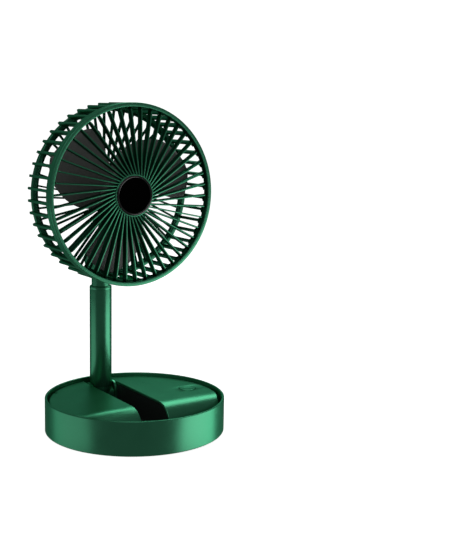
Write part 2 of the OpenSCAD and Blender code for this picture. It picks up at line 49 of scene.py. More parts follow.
# Lowest and highest corner of a CAD node, in millimetres
def boxOf(node):
    low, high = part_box(node)
    return Vector(low) / mm, Vector(high) / mm


ringLow, ringHigh = boxOf("front_grille")
cageHigh = boxOf("rear_cage")[1]
tubLow, tubHigh = boxOf("base_shell")
tubeLow, tubeHigh = boxOf("outer_tube")
buttonLow, buttonHigh = boxOf("power_button")

headPlace = {
    "frontY": ringLow.y,
    "centreZ": (ringLow.z + ringHigh.z) / 2,
    "radius": (ringHigh.z - ringLow.z) / 2,
    "depth": cageHigh.y - ringLow.y,
}
basePlace = {"radius": (tubHigh.x - tubLow.x) / 2, "low": tubLow.z, "high": tubHigh.z}
polePlace = {"y": (tubeLow.y + tubeHigh.y) / 2, "radius": (tubeHigh.x - tubeLow.x) / 2}
headTurn = (math.pi / 2, 0, 0)
headShift = (0, headPlace["frontY"] * mm, headPlace["centreZ"] * mm)


def onBase(x, y, z):
    return (x * mm, y * mm, z * mm)


def onPole(x, y, z):
    return (x * mm, (polePlace["y"] + y) * mm, z * mm)


# The head's own frame: z out of the front grille, y up, zero on the front ring's face
def onHead(x, y, z):
    return (x * mm, (headPlace["frontY"] - z) * mm, (headPlace["centreZ"] + y) * mm)


def onButton(x, y, z):
    middle = (buttonLow + buttonHigh) / 2
    return ((middle.x + x) * mm, (middle.y + y) * mm, z * mm)


# Corners are (x, y, radius), and each is rounded by its own radius
def softened(corners, steps=4):
    points = []
    for i, (x, y, radius) in enumerate(corners):
        if radius <= 0:
            points.append((x, y))
            continue
        here = Vector((x, y))
        back = (Vector(corners[i - 1][:2]) - here).normalized()
        onward = (Vector(corners[(i + 1) % len(corners)][:2]) - here).normalized()
        half = back.angle(onward) / 2
        start = here + back * radius / math.tan(half)
        end = here + onward * radius / math.tan(half)
        centre = here + (back + onward).normalized() * radius / math.sin(half)
        first = math.atan2(start.y - centre.y, start.x - centre.x)
        last = math.atan2(end.y - centre.y, end.x - centre.x)
        sweep = (last - first + math.pi) % (2 * math.pi) - math.pi
        for k in range(steps + 1):
            angle = first + sweep * k / steps
            points.append((centre.x + radius * math.cos(angle), centre.y + radius * math.sin(angle)))
    return points


# Turns a closed outline of (radius, height) round the local Z axis
def turned(outline, steps=144):
    points, rows, faces = [], [], []
    for radius, height in outline:
        count = 1 if radius < 1e-6 else steps
        rows.append([len(points) + k for k in range(count)])
        for k in range(count):
            angle = 2 * math.pi * k / steps
            points.append((radius * math.cos(angle), radius * math.sin(angle), height))
    for a, b in zip(rows, rows[1:] + rows[:1]):
        if len(a) == len(b) == 1:
            continue
        for k in range(steps):
            quad = [a[k % len(a)], a[(k + 1) % len(a)], b[(k + 1) % len(b)], b[k % len(b)]]
            faces.append([v for i, v in enumerate(quad) if v not in quad[:i]])
    return points, faces


# Joins closed sections of the same number of points into one closed skin
def lofted(sections):
    points = [p for section in sections for p in section]
    n = len(sections[0])
    faces = [list(range(n)), [len(points) - n + k for k in range(n)]]
    for i in range(len(sections) - 1):
        for k in range(n):
            a, b = i * n + k, i * n + (k + 1) % n
            faces.append([a, b, b + n, a + n])
    return points, faces


def shifted(shape, dx=0, dy=0, dz=0):
    points, faces = shape
    return [(x + dx, y + dy, z + dz) for x, y, z in points], faces


def together(*shapes):
    points, faces = [], []
    for more, rows in shapes:
        faces += [[v + len(points) for v in row] for row in rows]
        points += more
    return points, faces


# Merges what coincides and turns every face outwards
def cleaned(mesh, sharp=35):
    skin = bmesh.new()
    skin.from_mesh(mesh)
    bmesh.ops.remove_doubles(skin, verts=skin.verts, dist=2e-6)
    bmesh.ops.dissolve_degenerate(skin, edges=skin.edges, dist=1e-7)
    bmesh.ops.recalc_face_normals(skin, faces=skin.faces)
    skin.to_mesh(mesh)
    skin.free()
    mesh.shade_smooth()
    mesh.set_sharp_from_angle(angle=math.radians(sharp))
    return mesh


def newPiece(name, shape, place=onBase, sharp=35):
    points, faces = shape
    mesh = bpy.data.meshes.new(name)
    mesh.from_pydata([place(*p) for p in points], [], faces)
    piece = bpy.data.objects.new(name, cleaned(mesh, sharp))
    scene.collection.objects.link(piece)
    return piece


def discard(*objects):
    for thing in objects:
        bpy.data.objects.remove(thing)


# Applies whatever modifiers an object carries
def settled(piece, sharp=None):
    graph = bpy.context.evaluated_depsgraph_get()
    mesh = bpy.data.meshes.new_from_object(piece.evaluated_get(graph))
    piece.modifiers.clear()
    piece.data = mesh
    if sharp is not None:
        cleaned(mesh, sharp)
    return piece


def cutBy(piece, cutter, sharp=35):
    cut = piece.modifiers.new("cut", "BOOLEAN")
    cut.operation, cut.solver, cut.object = "DIFFERENCE", "EXACT", cutter
    settled(piece, sharp)
    discard(cutter)
    return piece


def joined(name, *pieces):
    skin = bmesh.new()
    for piece in pieces:
        skin.from_mesh(piece.data)
    mesh = bpy.data.meshes.new(name)
    skin.to_mesh(mesh)
    skin.free()
    mesh.shade_smooth()
    mesh.set_sharp_from_angle(angle=math.radians(35))
    whole = bpy.data.objects.new(name, mesh)
    scene.collection.objects.link(whole)
    discard(*pieces)
    return whole


# A copy of a CAD node with its loose triangles merged and its edges rounded
def roundedCopy(name, node, width, segments=3):
    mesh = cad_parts[node].data.copy()
    skin = bmesh.new()
    skin.from_mesh(mesh)
    bmesh.ops.remove_doubles(skin, verts=skin.verts, dist=5e-6)
    bmesh.ops.dissolve_limit(skin, angle_limit=math.radians(0.6), verts=skin.verts, edges=skin.edges)
    skin.to_mesh(mesh)
    skin.free()
    piece = bpy.data.objects.new(name, mesh)
    scene.collection.objects.link(piece)
    bevel = piece.modifiers.new("edges", "BEVEL")
    bevel.width, bevel.segments = width * mm, segments
    bevel.limit_method, bevel.angle_limit = "ANGLE", math.radians(40)
    bevel.use_clamp_overlap = True
    return settled(piece, 35)


# One output socket; arithmetic on it adds the Math nodes that work it out
class Wire:
    def __init__(self, sheet, socket):
        self.sheet, self.socket = sheet, socket

    def maths(self, operation, *values):
        return self.sheet.node("ShaderNodeMath", {"operation": operation}, dict(enumerate(values)))

    def __add__(self, other):
        return self.maths("ADD", self, other)

    def __radd__(self, other):
        return self.maths("ADD", other, self)

    def __sub__(self, other):
        return self.maths("SUBTRACT", self, other)

    def __rsub__(self, other):
        return self.maths("SUBTRACT", other, self)

    def __mul__(self, other):
        return self.maths("MULTIPLY", self, other)

    def __rmul__(self, other):
        return self.maths("MULTIPLY", other, self)

    def __truediv__(self, other):
        return self.maths("DIVIDE", self, other)

    def __pow__(self, other):
        return self.maths("POWER", self, other)


# A node tree, whose nodes all come from one method
class Sheet:
    def __init__(self, tree):
        self.tree = tree

    def node(self, kind, settings=None, sockets=None, output=0):
        made = self.tree.nodes.new(kind)
        for key, value in (settings or {}).items():
            if key == "stops":
                while len(made.color_ramp.elements) < len(value):
                    made.color_ramp.elements.new(1)
                for stop, (where, colour) in zip(made.color_ramp.elements, value):
                    stop.position, stop.color = where, (*colour, 1)
            else:
                setattr(made, key, value)
        for key, value in (sockets or {}).items():
            self.feed(made.inputs[key], value)
        return Wire(self, made.outputs[output])

    def feed(self, socket, value):
        if isinstance(value, Wire):
            self.tree.links.new(value.socket, socket)
        elif socket.type == "RGBA":
            socket.default_value = (*value, 1)
        else:
            socket.default_value = value


# A material's sheet, with the patterns that the fan's finishes share
class Finish(Sheet):
    def __init__(self, name, **sockets):
        self.material = bpy.data.materials.new(name)
        self.material.use_nodes = True
        super().__init__(self.material.node_tree)
        self.shader = self.tree.nodes["Principled BSDF"]
        self.where = self.node("ShaderNodeTexCoord", output="Object")
        for key, value in sockets.items():
            self.set(key, value)

    def set(self, key, value):
        label = "".join(" " + c if c.isupper() else c for c in key).strip()
        self.feed(self.shader.inputs[label[0].upper() + label[1:]], value)

    # Soft noise whose blotches are about size millimetres across
    def clouds(self, size, detail=2, roughness=0.5):
        return self.node("ShaderNodeTexNoise", {"noise_dimensions": "3D"}, {
            "Vector": self.where, "Scale": 1 / (size * mm), "Detail": detail,
            "Roughness": roughness})

    def mixed(self, share, first, second):
        return self.node("ShaderNodeMix", {"data_type": "RGBA"}, {0: share, 6: first, 7: second}, 2)

    def spread(self, value, low, high, fromLow=0.0, fromHigh=1.0):
        return self.node("ShaderNodeMapRange", {"clamp": True}, {
            "Value": value, "From Min": fromLow, "From Max": fromHigh,
            "To Min": low, "To Max": high})

    def bumped(self, height, depth, strength=1.0):
        self.set("normal", self.node("ShaderNodeBump", {}, {
            "Height": height, "Strength": strength, "Distance": depth * mm}))


cameraSettings = {
    "position": (-431.21, -760.88, 280.31),
    "right": (0.825194, -0.564573, 0.017679),
    "up": (0.073206, 0.13793, 0.987733),
    "lens": 69.63,
}


def makeCamera(settings):
    lens = bpy.data.cameras.new("camera")
    lens.lens, lens.sensor_width = settings["lens"], 36
    lens.clip_start, lens.clip_end = 0.01, 20
    eye = bpy.data.objects.new("camera", lens)
    scene.collection.objects.link(eye)
    right = Vector(settings["right"]).normalized()
    up = (Vector(settings["up"]) - right * right.dot(Vector(settings["up"]))).normalized()
    turn = Matrix((right, up, right.cross(up))).transposed().to_4x4()
    eye.matrix_world = Matrix.Translation(Vector(settings["position"]) * mm) @ turn
    scene.camera = eye


makeCamera(cameraSettings)

# Each softbox stands round the fan, its angle counted from the camera towards the right; glow is
# its surface's radiance, and height the rise of its middle over the horizon, in degrees
lampSettings = {
    "rightBox": {"angle": 86, "height": -20, "away": 0.75, "wide": 0.78, "tall": 0.42, "glow": 1.75},
    "leftBox": {"angle": -86, "height": -22, "away": 0.75, "wide": 0.84, "tall": 0.36, "glow": 0.56},
    "topBox": {"angle": 35, "height": 75, "away": 0.9, "wide": 0.5, "tall": 0.4, "glow": 0.5},
    "frontBox": {"angle": -8, "height": 42, "away": 0.9, "wide": 0.5, "tall": 0.4, "glow": 1.3},
    "backBox": {"angle": 161, "height": 47, "away": 0.95, "wide": 0.6, "tall": 0.46, "glow": 2.5},
    "lowBackBox": {"angle": 168, "height": 17, "away": 0.95, "wide": 0.5, "tall": 0.14, "glow": 0.4},
}


def makeLamps(settings):
    middle = Vector((0, 0, 0.14))
    eye = scene.camera.matrix_world.translation
    facing = math.atan2(eye.y - middle.y, eye.x - middle.x)
    for name, lamp in settings.items():
        light = bpy.data.lights.new(name, "AREA")
        light.shape, light.size, light.size_y = "RECTANGLE", lamp["wide"], lamp["tall"]
        light.energy = lamp["glow"] * math.pi * lamp["wide"] * lamp["tall"]
        box = bpy.data.objects.new(name, light)
        scene.collection.objects.link(box)
        around = facing + math.radians(lamp["angle"])
        rise = math.radians(lamp["height"])
        outwards = Vector((math.cos(around) * math.cos(rise), math.sin(around) * math.cos(rise),
                           math.sin(rise)))
        box.visible_camera = False
        box.matrix_world = (Matrix.Translation(middle + outwards * lamp["away"])
                            @ outwards.to_track_quat("Z", "Y").to_matrix().to_4x4())


makeLamps(lampSettings)

studioSettings = {"floorRadius": 1.6, "nearGlow": 0.93, "farGlow": 1.05, "near": 0.10, "far": 0.3,
                  "backdrop": 1.1, "ambient": 0.12}


def makeStudio(settings):
    finish = Finish("paperFloor", roughness=0.9, emissionStrength=1.0)
    # The floor's glow is painted: dimmer near the fan, a painted shadow round its foot, and full white
    # further out
    reach = finish.node("ShaderNodeVectorMath", {"operation": "LENGTH"}, {0: finish.where}, "Value")
    glow = finish.spread(reach, settings["nearGlow"], settings["farGlow"], settings["near"],
                         settings["far"])
    finish.set("emissionColor", finish.node("ShaderNodeCombineColor", {}, {0: glow, 1: glow, 2: glow}))
    grain = finish.clouds(40)
    finish.set("baseColor", finish.mixed(grain, (0.76, 0.76, 0.76), (0.8, 0.8, 0.8)))
    floor = newPiece("floor", turned([(0, -0.1), (settings["floorRadius"] / mm, -0.1),
                                      (settings["floorRadius"] / mm, 0), (0, 0)], 96))
    floor.data.materials.append(finish.material)
    floor.visible_glossy = floor.visible_diffuse = floor.visible_shadow = False
    world = bpy.data.worlds.new("studio")
    world.use_nodes = True
    sheet = Sheet(world.node_tree)
    seen = sheet.node("ShaderNodeLightPath", output="Is Camera Ray")
    strength = seen * (settings["backdrop"] - settings["ambient"]) + settings["ambient"]
    background = world.node_tree.nodes["Background"]
    sheet.feed(background.inputs["Color"], (1, 1, 1))
    sheet.feed(background.inputs["Strength"], strength)
    scene.world = world
    scene.view_settings.view_transform = "Standard"


makeStudio(studioSettings)
print("camera, lights and floor made")


# Painted shade on the head: where the fins, cage and rear grille lie deep or inside, their green is painted
# towards dark
headPaintedShade = {"dark": (0.012, 0.062, 0.034), "faceDeep": 1.9, "faceShallow": 0.5, "wall": 75.0,
             "outside": 76.2, "slatInner": 74.0, "slatOuter": 77.0, "back": 43.5,
             "backShallow": 0.4, "backDeep": 1.3}


# Moulded shell: green pigment with a fine metallic glint; lit, where given, is how much light reaches a spot,
# and where it is low the colour is painted towards dark, a painted shade
def pearlGreen(name="pearlGreen", lit=None):
    look = {"deep": (0.060, 0.305, 0.165), "light": (0.080, 0.370, 0.203)}
    finish = Finish(name, metallic=0.88, specularTint=(0.38, 1.0, 0.68))
    cloud, glint = finish.clouds(22), finish.clouds(0.35, 3)
    share = finish.spread(cloud * 0.4 + glint * 0.6, 0, 1, 0.3, 0.7)
    colour = finish.mixed(share, look["deep"], look["light"])
    # Painted shade: where lit is low, the colour is pulled towards the dark green
    if lit:
        colour = finish.mixed(lit(finish), headPaintedShade["dark"], colour)
    finish.set("baseColor", colour)
    finish.set("roughness", finish.spread(cloud + glint * 0.5, 0.27, 0.35, 0.4, 1.1))
    finish.bumped(glint, 0.012, 0.35)
    return finish.material


def fromAxis(finish):
    axis = (0, 0, headPlace["centreZ"] * mm)
    away = finish.node("ShaderNodeVectorMath", {"operation": "SUBTRACT"}, {0: finish.where, 1: axis})
    flat = finish.node("ShaderNodeVectorMath", {"operation": "MULTIPLY"}, {0: away, 1: (1, 0, 1)})
    return finish.node("ShaderNodeVectorMath", {"operation": "LENGTH"}, {0: flat}, "Value")


def alongAxis(finish):
    return finish.node("ShaderNodeSeparateXYZ", {}, {0: finish.where}, "Y")


# Painted shade on the front grille: the fins are painted dark in their depths, while the ring and the fins'
# front edges keep the full colour
def litFins(finish):  # bright front edges and ring, dark depths
    face = headPlace["frontY"]
    edge = finish.spread(alongAxis(finish), 1, 0, (face + headPaintedShade["faceShallow"]) * mm,
                         (face + headPaintedShade["faceDeep"]) * mm)
    ring = finish.spread(fromAxis(finish), 0, 1, headPaintedShade["wall"] * mm, headPaintedShade["outside"] * mm)
    return edge + ring * (1 - edge)


# Painted shade in the cage: its slats are painted darker towards their inner side
def litCage(finish):
    return finish.spread(fromAxis(finish), 0.35, 1, headPaintedShade["slatInner"] * mm,
                         headPaintedShade["slatOuter"] * mm)


# Painted shade on the rear grille: it is painted dark except near its back face
def litBack(finish):
    back = headPlace["frontY"] + headPaintedShade["back"]
    return finish.spread(alongAxis(finish), 0, 1, (back - headPaintedShade["backDeep"]) * mm,
                         (back - headPaintedShade["backShallow"]) * mm)


def matteBlack(name="matteBlack", colour=(0.010, 0.014, 0.012), roughness=0.55, shine=0.5):
    finish = Finish(name)
    finish.feed(finish.shader.inputs["Specular IOR Level"], shine)
    grain = finish.clouds(0.5, 3)
    finish.set("baseColor", finish.mixed(grain, colour, tuple(c * 1.8 for c in colour)))
    finish.set("roughness", finish.spread(grain, roughness - 0.08, roughness + 0.08))
    finish.bumped(grain, 0.03, 0.5)
    return finish.material


def pianoBlack():
    finish = Finish("pianoBlack", coatWeight=0.4, coatRoughness=0.04)
    smear = finish.clouds(9, 4, 0.6)
    finish.set("baseColor", finish.mixed(smear, (0.002, 0.002, 0.002), (0.005, 0.005, 0.005)))
    finish.set("roughness", finish.spread(smear, 0.10, 0.20, 0.35, 0.7))
    return finish.material


def smokedBlade():
    finish = Finish("smokedBlade", alpha=0.99)
    haze = finish.clouds(14, 3)
    finish.set("baseColor", finish.mixed(haze, (0.20, 0.205, 0.198), (0.235, 0.24, 0.232)))
    finish.set("roughness", finish.spread(haze, 0.36, 0.46))
    finish.bumped(finish.clouds(3), 0.02, 0.3)
    return finish.material


def turnedSteel(name="turnedSteel", colour=(0.56, 0.56, 0.57)):
    finish = Finish(name, metallic=1.0)
    lines = finish.clouds(0.25, 2)
    finish.set("baseColor", finish.mixed(lines, tuple(c * 0.8 for c in colour), colour))
    finish.set("roughness", finish.spread(lines, 0.22, 0.4))
    finish.bumped(lines, 0.008, 0.4)
    return finish.material


def circuitBoard():
    finish = Finish("circuitBoard", coatWeight=0.3, coatRoughness=0.2)
    tracks = finish.node("ShaderNodeTexBrick", {"offset": 0.5}, {
        "Vector": finish.where, "Scale": 160.0, "Mortar Size": 0.06, "Color1": (0.012, 0.10, 0.04),
        "Color2": (0.008, 0.075, 0.03), "Mortar": (0.05, 0.22, 0.09)})
    finish.set("baseColor", tracks)
    finish.set("roughness", finish.spread(finish.clouds(1.5), 0.3, 0.45))
    return finish.material


def shrinkWrap():  # the sleeve on the battery cells
    finish = Finish("shrinkWrap", coatWeight=0.3, coatRoughness=0.15)
    crease = finish.clouds(6, 4)
    finish.set("baseColor", finish.mixed(crease, (0.02, 0.07, 0.22), (0.035, 0.11, 0.32)))
    finish.set("roughness", finish.spread(crease, 0.22, 0.36))
    finish.bumped(crease, 0.15, 0.5)
    return finish.material


def copperWire():
    finish = Finish("copperWire", metallic=0.9)
    turns = finish.node("ShaderNodeTexWave", {"wave_type": "BANDS", "bands_direction": "Y"}, {
        "Vector": finish.where, "Scale": 550.0, "Distortion": 0.4})
    finish.set("baseColor", finish.mixed(turns, (0.28, 0.09, 0.03), (0.72, 0.30, 0.12)))
    finish.set("roughness", finish.spread(turns, 0.45, 0.28))
    finish.bumped(turns, 0.08, 0.8)
    return finish.material


def motorIron():
    finish = Finish("motorIron", metallic=0.8)
    sheets = finish.node("ShaderNodeTexWave", {"wave_type": "BANDS", "bands_direction": "Y"}, {
        "Vector": finish.where, "Scale": 300.0, "Distortion": 0.2})
    finish.set("baseColor", finish.mixed(sheets, (0.10, 0.10, 0.11), (0.20, 0.20, 0.21)))
    finish.set("roughness", finish.spread(finish.clouds(2), 0.4, 0.6))
    finish.bumped(sheets, 0.05, 0.5)
    return finish.material


# Copies of the green that each carry painted shade: for the fins, the cage and the rear grille
finGreen, cageGreen = pearlGreen("finGreen", litFins), pearlGreen("cageGreen", litCage)
backGreen = pearlGreen("backGreen", litBack)
green, liner, gloss, smoke = pearlGreen(), matteBlack("linerBlack"), pianoBlack(), smokedBlade()
disc = matteBlack("discBlack", (0.0008, 0.0008, 0.0008), 0.6, 0.0)
blackPart = matteBlack("mouldedBlack", (0.016, 0.016, 0.017), 0.45)
rubber = matteBlack("footRubber", (0.014, 0.014, 0.014), 0.75)
steel, board, wrap = turnedSteel(), circuitBoard(), shrinkWrap()
copper, iron = copperWire(), motorIron()
print("finishes made")


def newTree(name, sockets):
    tree = bpy.data.node_groups.new(name, "GeometryNodeTree")
    tree.interface.new_socket("Geometry", in_out="INPUT", socket_type="NodeSocketGeometry")
    for label, kind in sockets.items():
        tree.interface.new_socket(label, in_out="INPUT", socket_type="NodeSocket" + kind)
    tree.interface.new_socket("Geometry", in_out="OUTPUT", socket_type="NodeSocketGeometry")
    sheet = Sheet(tree)
    inputs = tree.nodes.new("NodeGroupInput")
    wires = {s.name: Wire(sheet, s) for s in inputs.outputs if s.name}
    return sheet, wires


def closeTree(sheet, geometry, finish):
    whole = sheet.node("GeometryNodeRealizeInstances", {}, {"Geometry": geometry})
    painted = sheet.node("GeometryNodeSetMaterial", {}, {"Geometry": whole, "Material": finish})
    output = sheet.tree.nodes.new("NodeGroupOutput")
    sheet.feed(output.inputs["Geometry"], painted)
    return sheet.tree


# Copies of one shape round the local Z axis, then turned and shifted to their place
def ringTree():
    sheet, wire = newTree("copiesRoundAxis", {
        "Count": "Int", "Start Angle": "Float", "Turn": "Rotation", "Shift": "Vector",
        "Finish": "Material"})
    number = sheet.node("GeometryNodeInputIndex")
    angle = number / wire["Count"] * (2 * math.pi) + wire["Start Angle"]
    spin = sheet.node("ShaderNodeCombineXYZ", {}, {"Z": angle})
    spots = sheet.node("GeometryNodePoints", {}, {"Count": wire["Count"]})
    copies = sheet.node("GeometryNodeInstanceOnPoints", {}, {
        "Points": spots, "Instance": wire["Geometry"], "Rotation": spin})
    moved = sheet.node("GeometryNodeTransform", {}, {
        "Geometry": copies, "Translation": wire["Shift"], "Rotation": wire["Turn"]})
    return closeTree(sheet, moved, wire["Finish"])


# A screw on every point of the seed mesh
def screwTree():
    sheet, wire = newTree("screwOnPoints", {
        "Screw": "Object", "Turn": "Rotation", "Finish": "Material"})
    screw = sheet.node("GeometryNodeObjectInfo", {"transform_space": "ORIGINAL"},
                       {"Object": wire["Screw"], "As Instance": True}, "Geometry")
    copies = sheet.node("GeometryNodeInstanceOnPoints", {}, {
        "Points": wire["Geometry"], "Instance": screw, "Rotation": wire["Turn"]})
    return closeTree(sheet, copies, wire["Finish"])


def grown(seed, tree, values, sharp=35):
    build = seed.modifiers.new("build", "NODES")
    build.node_group = tree
    for label, value in values.items():
        socket = next(s for s in tree.interface.items_tree if s.name == label)
        build[socket.identifier] = value
    return settled(seed, sharp)


ringOfCopies, screwsOnPoints = ringTree(), screwTree()


def roundHead(name, shape, count, finish, start=0.0):
    seed = newPiece(name, shape)
    return grown(seed, ringOfCopies, {
        "Count": count, "Start Angle": math.radians(start), "Turn": headTurn, "Shift": headShift,
        "Finish": finish})


def finishPiece(piece, body, slot, finish, *nodes):
    piece.data.materials.clear()
    piece.data.materials.append(finish)
    for face in piece.data.polygons:
        face.material_index = 0
    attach(piece, body)
    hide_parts(*nodes)


grille = {
    "fins": 46, "skew": 7.1, "finWidth": 1.3, "finFront": -0.6, "finBack": -7.1, "edge": 0.5,
    "dip": 3.4, "dipLength": 4.2, "ringWidth": 3.4, "ringDepth": 5.0, "lipIn": 2.7, "lipDepth": 2.0,
    "ringOuter": 0.45, "ringInner": 0.5, "hubOut": 18.0, "hubIn": 17.0,
}


# A bar along Y with rounded edges; its front sinks by dip over the last stretch
def barShape(x, start, end, width, low, high, edgeLow, edgeHigh, dip=0.0, dipLength=1.0):
    outline = softened([(-width / 2, low, edgeLow), (width / 2, low, edgeLow),
                        (width / 2, high, edgeHigh), (-width / 2, high, edgeHigh)], 2)
    stations = [(start, 0.0)]
    if dip:
        for share in (0.0, 0.35, 0.6, 0.8, 1.0):
            stations.append((end - dipLength * (1 - share), dip * share * share))
    else:
        stations.append((end, 0.0))
    sections = []
    for y, sink in stations:
        sections.append([(x + px, y, pz - sink * (pz - low) / (high - low)) for px, pz in outline])
    return lofted(sections)


def alongFin(radius, skew):
    return math.sqrt(radius * radius - skew * skew)


def makeFrontGrille(s):
    outer = headPlace["radius"]
    inner = outer - s["ringWidth"]
    back = -s["ringDepth"]
    ring = turned(softened([
        (inner, back - s["lipDepth"], 0.2), (outer - s["lipIn"], back - s["lipDepth"], 0.3),
        (outer - s["lipIn"], back, 0), (outer, back, 0.35), (outer, 0, s["ringOuter"]),
        (inner, 0, s["ringInner"])]), 240)
    fin = barShape(s["skew"], alongFin(s["hubOut"] - 0.5, s["skew"]), alongFin(inner + 0.6, s["skew"]),
                   s["finWidth"], s["finBack"], s["finFront"], 0.25, s["edge"], s["dip"],
                   s["dipLength"])
    hub = turned(softened([
        (0, back - s["lipDepth"], 0), (s["hubOut"], back - s["lipDepth"], 0.3), (s["hubOut"], 0, 0.35),
        (s["hubIn"], 0, 0.2), (s["hubIn"], back, 0.1), (0, back, 0)]), 120)
    fins = roundHead("fins", fin, s["fins"], finGreen)
    piece = joined("frontGrille", newPiece("ring", together(ring, hub), onHead), fins)
    finishPiece(piece, "head", "green_shell", finGreen, "front_grille")


makeFrontGrille(grille)

hub = {"bezelOut": 16.98, "bezelIn": 15.0, "bezelFront": 0.8, "low": -4.9, "capOut": 14.98,
       "capFront": 0.1, "capDish": 0.5}


def makeHub(s):
    bezel = newPiece("hubBezel", turned(softened([
        (s["bezelIn"], s["low"], 0), (s["bezelOut"], s["low"], 0), (s["bezelOut"], s["bezelFront"], 0.8),
        (s["bezelIn"], s["bezelFront"], 0.7)]), 120), onHead)
    finishPiece(bezel, "head", "black_gloss", gloss, "hub_bezel")
    front = [(s["capOut"] * (1 - k / 8), s["capFront"] - s["capDish"] * (1 - (1 - k / 8) ** 2))
             for k in range(1, 9)]
    edge = [(s["capOut"], s["low"]), (s["capOut"], s["capFront"] - 0.4),
            (s["capOut"] - 0.12, s["capFront"] - 0.12), (s["capOut"] - 0.4, s["capFront"] - 0.02)]
    cap = newPiece("hubCap", turned(edge + front + [(0, s["low"])], 120), onHead)
    finishPiece(cap, "head", "black_gloss", disc, "hub_cap")


makeHub(hub)
print("front grille and hub made")

cage = {
    "slats": 46, "bandWidth": 2.5, "bandBack": -8.0, "bandFront": -5.0, "slatWidth": 2.3,
    "slatIn": 3.9, "slatOut": 0.15, "flare": 2.0, "ringIn": 71.6, "ringOut": 75.6, "ringBack": -43.5,
    "ringFront": -39.5,
}


# One side slat along Z, flared where it joins the band so that the slots' ends are round
def slatShape(s):
    outer = headPlace["radius"]
    half = s["slatWidth"] / 2
    outline = softened([(-half, outer - s["slatIn"], 0.3), (half, outer - s["slatIn"], 0.3),
                        (half, outer - s["slatOut"], 0.45), (-half, outer - s["slatOut"], 0.45)], 2)
    tip, root = -headPlace["depth"], s["bandBack"]
    stations = [(tip, 0.62, 0.75), (tip + 0.25, 0.87, 0.3), (tip + 0.7, 1.0, 0.0)]
    for share in (0.0, 0.4, 0.65, 0.85, 1.0):
        wide = half + s["flare"] * (1 - math.sqrt(1 - share * share))
        stations.append((root - s["flare"] * (1 - share), wide / half, 0.0))
    stations.append((root + 0.5, (half + s["flare"]) / half, 0.0))
    middle = outer - (s["slatIn"] + s["slatOut"]) / 2
    sections = []
    for z, wide, sink in stations:
        sections.append([(x * wide, y - sink * (y - middle) / 1.9, z) for x, y in outline])
    return lofted(sections)


def makeRearCage(s):
    outer = headPlace["radius"]
    inner = outer - s["bandWidth"]
    band = turned(softened([(inner, s["bandBack"], 0.3), (outer, s["bandBack"], 0.15),
                            (outer, s["bandFront"], 0.35), (inner, s["bandFront"], 0.2)]), 240)
    rim = turned(softened([(s["ringIn"], s["ringBack"], 0.6), (s["ringOut"], s["ringBack"], 0.8),
                           (s["ringOut"], s["ringFront"], 0.6), (s["ringIn"], s["ringFront"], 0.4)]), 200)
    slats = roundHead("slats", slatShape(s), s["slats"], cageGreen)
    piece = joined("rearCage", newPiece("band", together(band, rim), onHead), slats)
    finishPiece(piece, "head", "green_shell", cageGreen, "rear_cage")


makeRearCage(cage)

rear = {"spokes": 46, "skew": -7.1, "width": 1.5, "low": -43.5, "high": -40.0, "rimOut": 71.58,
        "rimIn": 69.98, "plate": 21.0, "plateBack": -45.2, "plateFront": -41.0}


def makeRearGrille(s):
    rim = turned(softened([(s["rimIn"], s["low"], 0.4), (s["rimOut"], s["low"], 0.15),
                           (s["rimOut"], s["high"], 0.15), (s["rimIn"], s["high"], 0.4)]), 200)
    plate = turned(softened([(0, s["plateBack"], 0), (s["plate"], s["plateBack"], 1.2),
                             (s["plate"], s["plateFront"], 0.4), (0, s["plateFront"], 0)]), 120)
    spoke = barShape(s["skew"], alongFin(s["plate"] - 1, s["skew"]), alongFin(s["rimIn"] + 0.8, s["skew"]),
                     s["width"], s["low"], s["high"], 0.6, 0.3)
    spokes = roundHead("spokes", spoke, s["spokes"], backGreen)
    piece = joined("rearGrille", newPiece("rim", together(rim, plate), onHead), spokes)
    finishPiece(piece, "head", "green_shell", backGreen, "rear_grille")


makeRearGrille(rear)
print("cage and rear grille made")

impeller = {"blades": 3, "start": 52.0, "tip": 69.6, "hub": 18.0, "hubBack": -36.0, "hubFront": -19.5,
            "bore": 14.0, "boreFront": -21.9, "thick": 1.6, "rise": 20.0, "rows": 26, "columns": 22,
            "shaft": 1.5, "sweep": -38, "rootHalf": 51, "taper": 26, "tipTaper": 15, "tipFrom": 0.7,
            "tipLead": 10}


# A broad blade: a thin curved plate that swells towards its middle
def bladeShape(s):
    middle = (s["hubBack"] + s["hubFront"]) / 2 - 0.5
    root = s["hub"] - 1.2
    sides = []
    for side in (1, -1):
        for i in range(s["rows"] + 1):
            t = i / s["rows"]
            over = max(0, t - s["tipFrom"]) / (1 - s["tipFrom"])
            half = s["rootHalf"] - s["taper"] * t - s["tipTaper"] * over ** 3
            for j in range(s["columns"] + 1):
                u = math.sin(math.pi / 2 * (2 * j / s["columns"] - 1))
                radius = root + (s["tip"] - root) * t * (1 - 0.02 * u * u * t)
                angle = math.radians(s["sweep"] * t + s["tipLead"] * over * over + half * u)
                height = -s["rise"] / 2 * u * (1 - 0.35 * t) + 1.2 * (1 - u * u)
                edge = max(abs(u), t) ** 14
                swell = s["thick"] / 2 * (1 - 0.8 * edge)
                sides.append((radius * math.cos(angle), radius * math.sin(angle),
                              middle + height + side * swell))
    width, count = s["columns"] + 1, (s["rows"] + 1) * (s["columns"] + 1)
    faces = []
    for i in range(s["rows"]):
        for j in range(s["columns"]):
            a = i * width + j
            faces.append([a, a + 1, a + width + 1, a + width])
            faces.append([a + count + width, a + count + width + 1, a + count + 1, a + count])
    rim = ([j for j in range(s["columns"])] + [i * width + s["columns"] for i in range(s["rows"])]
           + [s["rows"] * width + s["columns"] - j for j in range(s["columns"])]
           + [(s["rows"] - i) * width for i in range(s["rows"])])
    for a, b in zip(rim, rim[1:] + rim[:1]):
        faces.append([a, b, b + count, a + count])
    return sides, faces


